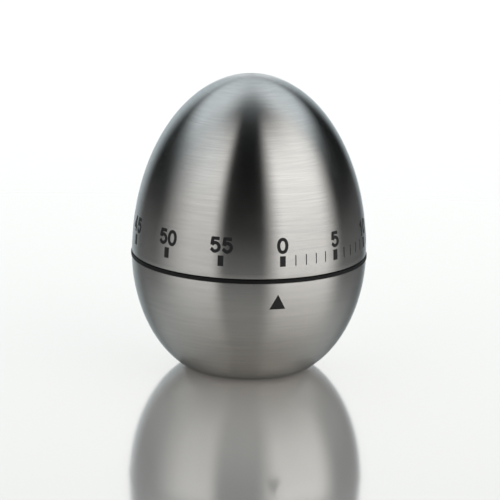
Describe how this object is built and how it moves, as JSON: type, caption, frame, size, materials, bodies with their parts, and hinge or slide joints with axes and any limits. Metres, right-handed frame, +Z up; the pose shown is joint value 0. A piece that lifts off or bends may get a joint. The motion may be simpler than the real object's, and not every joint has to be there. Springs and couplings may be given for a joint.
{
  "type": "kitchen timer",
  "caption": "Egg-shaped sixty minute clockwork kitchen timer: two brushed steel half shells, the upper one the turning dial, over a geared movement that rings a bell.",
  "frame": {"origin": "centre of the flat face it stands on", "axes": "+Z up along the egg's axis, which the dial turns about; -Y is the side with the pointer"},
  "size_m": [0.0604, 0.0604, 0.076],
  "materials": {
    "brushed_shell": "brushed round the egg, satin",
    "black_plastic": "moulded black, satin",
    "brass": "rolled sheet, fine grain",
    "plated_steel": "nickel plated",
    "bright_steel": "turned",
    "spring_steel": "blued",
    "bell_steel": "nickel plated, polished"
  },
  "bodies": {
    "case": {"lower_shell": "brushed_shell", "inner_housing": "black_plastic", "base_cover": "black_plastic", "base_screws": "plated_steel", "movement_screws": "plated_steel", "bell": "bell_steel", "bell_screw": "plated_steel", "lower_plate": "brass", "upper_plate": "brass", "plate_pillars": "bright_steel", "pillar_nuts": "plated_steel", "arbor_bushes": "brass", "stop_pin": "bright_steel", "lever_stud": "bright_steel", "spring_post": "brass", "lever_spring": "spring_steel"},
    "dial": {"dome_shell": "brushed_shell", "dial_insert": "black_plastic", "dial_screw": "plated_steel", "main_arbor": "bright_steel", "great_wheel": "brass", "clutch_spring": "spring_steel", "clutch_collar": "brass", "release_cam": "bright_steel"},
    "barrel": {"strike_barrel": "brass", "barrel_lid": "brass", "mainspring": "spring_steel"},
    "second": {"second_arbor": "bright_steel", "second_wheel": "brass"},
    "third": {"third_arbor": "bright_steel", "third_wheel": "brass"},
    "escapement": {"escape_arbor": "bright_steel", "escape_wheel": "brass"},
    "pallet": {"pallet_staff": "bright_steel", "pallet_anchor": "brass", "pallet_pins": "bright_steel", "pallet_weight": "brass"},
    "hammer": {"hammer_staff": "bright_steel", "hammer_verge": "bright_steel", "hammer_pins": "bright_steel", "hammer_arm": "bright_steel", "hammer_head": "brass"},
    "lever": {"release_lever": "bright_steel"}
  },
  "joints": [
    {"name": "dial_turn", "type": "hinge", "parent": "case", "child": "dial", "pos_m": [0, 0, 0.03015], "axis": [0, 0, -1], "range_deg": [0, 348]},
    {"name": "second_turn", "type": "hinge", "parent": "case", "child": "second", "pos_m": [0.0136, 0, 0.0186], "axis": [0, 0, -1], "range_deg": [-2610, 0]},
    {"name": "third_turn", "type": "hinge", "parent": "case", "child": "third", "pos_m": [0.00933, 0.0107, 0.0214], "axis": [0, 0, -1], "range_deg": [0, 20880]},
    {"name": "escape_turn", "type": "hinge", "parent": "case", "child": "escapement", "pos_m": [0.00324, 0.01648, 0.0152], "axis": [0, 0, -1], "range_deg": [-125280, 0]},
    {"name": "pallet_rock", "type": "hinge", "parent": "case", "child": "pallet", "pos_m": [-0.00341, 0.01645, 0.01625], "axis": [0, 0, 1], "range_deg": [-4, 4]},
    {"name": "barrel_turn", "type": "hinge", "parent": "case", "child": "barrel", "pos_m": [0, 0, 0.0149], "axis": [0, 0, -1], "range_deg": [0, 240]},
    {"name": "hammer_swing", "type": "hinge", "parent": "case", "child": "hammer", "pos_m": [-0.01245, -0.00872, 0.00955], "axis": [0, 0, 1], "range_deg": [-8, 8]},
    {"name": "lever_drop", "type": "hinge", "parent": "case", "child": "lever", "pos_m": [-0.01298, 0.00524, 0.0266], "axis": [0, 0, 1], "range_deg": [-6, 0]}
  ],
  "couplings": [
    {"joint": "second_turn", "follows": "dial_turn", "ratio": -7.5},
    {"joint": "third_turn", "follows": "dial_turn", "ratio": 60},
    {"joint": "escape_turn", "follows": "dial_turn", "ratio": -360}
  ]
}
